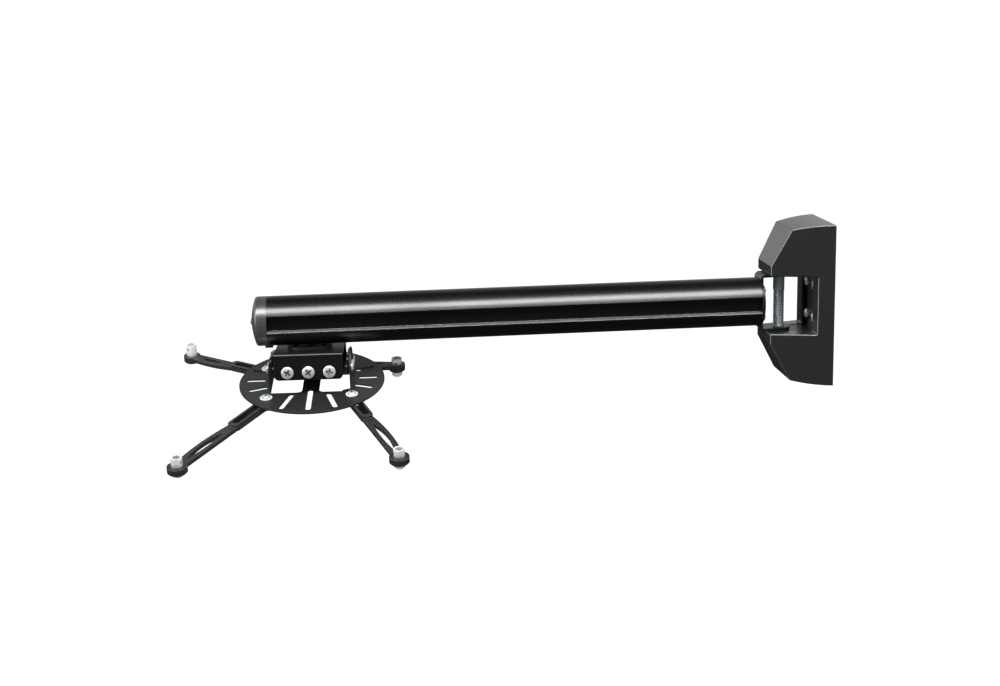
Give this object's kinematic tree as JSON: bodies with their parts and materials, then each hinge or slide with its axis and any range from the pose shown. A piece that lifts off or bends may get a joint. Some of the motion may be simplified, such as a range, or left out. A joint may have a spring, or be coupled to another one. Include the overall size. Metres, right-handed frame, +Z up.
{
  "type": "projector wall mount",
  "caption": "Projector wall mount: round black boom on a hinged wall bracket, with a sliding head that pitches and rolls a slotted plate with adjustable cast arms",
  "frame": {"origin": "centre of the wall plate's footprint, in the plane of the wall", "axes": "+X is the wall side's outward normal, so the boom reaches out along -X; +Z is up; +Y is the side away from the picture's camera"},
  "size_m": [0.7977, 0.3157, 0.2358],
  "materials": {
    "black_steel": "satin black powder coat",
    "plate_steel": "satin black powder coat",
    "tube_finish": "satin black anodised extrusion",
    "cover_plastic": "fine-grained dark grey moulding",
    "cap_plastic": "satin dark grey moulding",
    "washer_plastic": "natural nylon",
    "cast_black": "semi-gloss black coating on a casting",
    "zinc": "bright zinc plating"
  },
  "bodies": {
    "wall": {"wall_plate": "black_steel", "yoke": "black_steel", "yoke_screws": "zinc", "wall_cover": "cover_plastic", "pivot_bolt": "zinc", "pivot_nut": "zinc", "pivot_washers": "washer_plastic"},
    "boom": {"fork": "black_steel", "fork_screws": "zinc", "tube": "tube_finish", "end_cap": "cap_plastic", "cap_screw": "zinc"},
    "trolley": {"slot_nut": "zinc", "trolley_disc": "black_steel", "trolley_screws": "zinc"},
    "head": {"head_bracket": "black_steel", "swivel_nut": "zinc"},
    "cradle": {"pitch_cradle": "black_steel", "pitch_screws": "zinc", "roll_screws": "zinc"},
    "plate": {"spider": "plate_steel"},
    "pivot_front_left": {"arm_screw_front_left": "zinc"},
    "bar_front_left": {"arm_front_left": "cast_black"},
    "post_front_left": {"pillar_front_left": "zinc"},
    "pivot_front_right": {"arm_screw_front_right": "zinc"},
    "bar_front_right": {"arm_front_right": "cast_black"},
    "post_front_right": {"pillar_front_right": "zinc"},
    "pivot_rear_left": {"arm_screw_rear_left": "zinc"},
    "bar_rear_left": {"arm_rear_left": "cast_black"},
    "post_rear_left": {"pillar_rear_left": "zinc"},
    "pivot_rear_right": {"arm_screw_rear_right": "zinc"},
    "bar_rear_right": {"arm_rear_right": "cast_black"},
    "post_rear_right": {"pillar_rear_right": "zinc"}
  },
  "joints": [
    {"name": "arm_swing", "type": "hinge", "parent": "wall", "child": "boom", "pos_m": [-0.0555, 0, 0], "axis": [0, 0, 1], "range_deg": [-90, 90]},
    {"name": "trolley_slide", "type": "slide", "parent": "boom", "child": "trolley", "axis": [1, 0, 0], "range_m": [-0.008, 0.32]},
    {"name": "head_swivel", "type": "hinge", "parent": "trolley", "child": "head", "pos_m": [-0.633, 0, -0.035], "axis": [0, 0, 1], "range_deg": [-180, 180]},
    {"name": "head_pitch", "type": "hinge", "parent": "head", "child": "cradle", "pos_m": [-0.633, 0, -0.056], "axis": [0.0454, 0.999, 0], "range_deg": [-3, 3]},
    {"name": "head_roll", "type": "hinge", "parent": "cradle", "child": "plate", "pos_m": [-0.633, 0, -0.056], "axis": [0.999, -0.0454, 0], "range_deg": [-25.5, 1.5]},
    {"name": "turn_front_left", "type": "hinge", "parent": "plate", "child": "pivot_front_left", "pos_m": [-0.68655, -0.03729, -0.08815], "axis": [-0.0094, -0.2077, 0.9781], "range_deg": [-30, 30]},
    {"name": "reach_front_left", "type": "slide", "parent": "pivot_front_left", "child": "bar_front_left", "axis": [-0.5261, -0.8308, -0.1815], "range_m": [-0.037, 0]},
    {"name": "height_front_left", "type": "slide", "parent": "bar_front_left", "child": "post_front_left", "axis": [-0.0094, -0.2077, 0.9781], "range_m": [-0.004, 0.0044]},
    {"name": "turn_front_right", "type": "hinge", "parent": "plate", "child": "pivot_front_right", "pos_m": [-0.58453, -0.03918, -0.08757], "axis": [-0.0094, -0.2077, 0.9781], "range_deg": [-30, 30]},
    {"name": "reach_front_right", "type": "slide", "parent": "pivot_front_right", "child": "bar_front_right", "axis": [0.3232, -0.9263, -0.1936], "range_m": [-0.0235, 0.0135]},
    {"name": "height_front_right", "type": "slide", "parent": "bar_front_right", "child": "post_front_right", "axis": [-0.0094, -0.2077, 0.9781], "range_m": [-0.0023, 0.0061]},
    {"name": "turn_rear_left", "type": "hinge", "parent": "plate", "child": "pivot_rear_left", "pos_m": [-0.68851, 0.04299, -0.07112], "axis": [-0.0094, -0.2077, 0.9781], "range_deg": [-30, 30]},
    {"name": "reach_rear_left", "type": "slide", "parent": "pivot_rear_left", "child": "bar_rear_left", "axis": [-0.8411, 0.5307, 0.1046], "range_m": [-0.044, 0.001]},
    {"name": "height_rear_left", "type": "slide", "parent": "bar_rear_left", "child": "post_rear_left", "axis": [-0.0094, -0.2077, 0.9781], "range_m": [-0.008, 0.0004]},
    {"name": "turn_rear_right", "type": "hinge", "parent": "plate", "child": "pivot_rear_right", "pos_m": [-0.60239, 0.06121, -0.06643], "axis": [-0.0094, -0.2077, 0.9781], "range_deg": [-18, 30]},
    {"name": "reach_rear_right", "type": "slide", "parent": "pivot_rear_right", "child": "bar_rear_right", "axis": [0.9858, -0.1658, -0.0257], "range_m": [-0.0015, 0.04]},
    {"name": "height_rear_right", "type": "slide", "parent": "bar_rear_right", "child": "post_rear_right", "axis": [-0.0094, -0.2077, 0.9781], "range_m": [-0.0008, 0.007]}
  ]
}
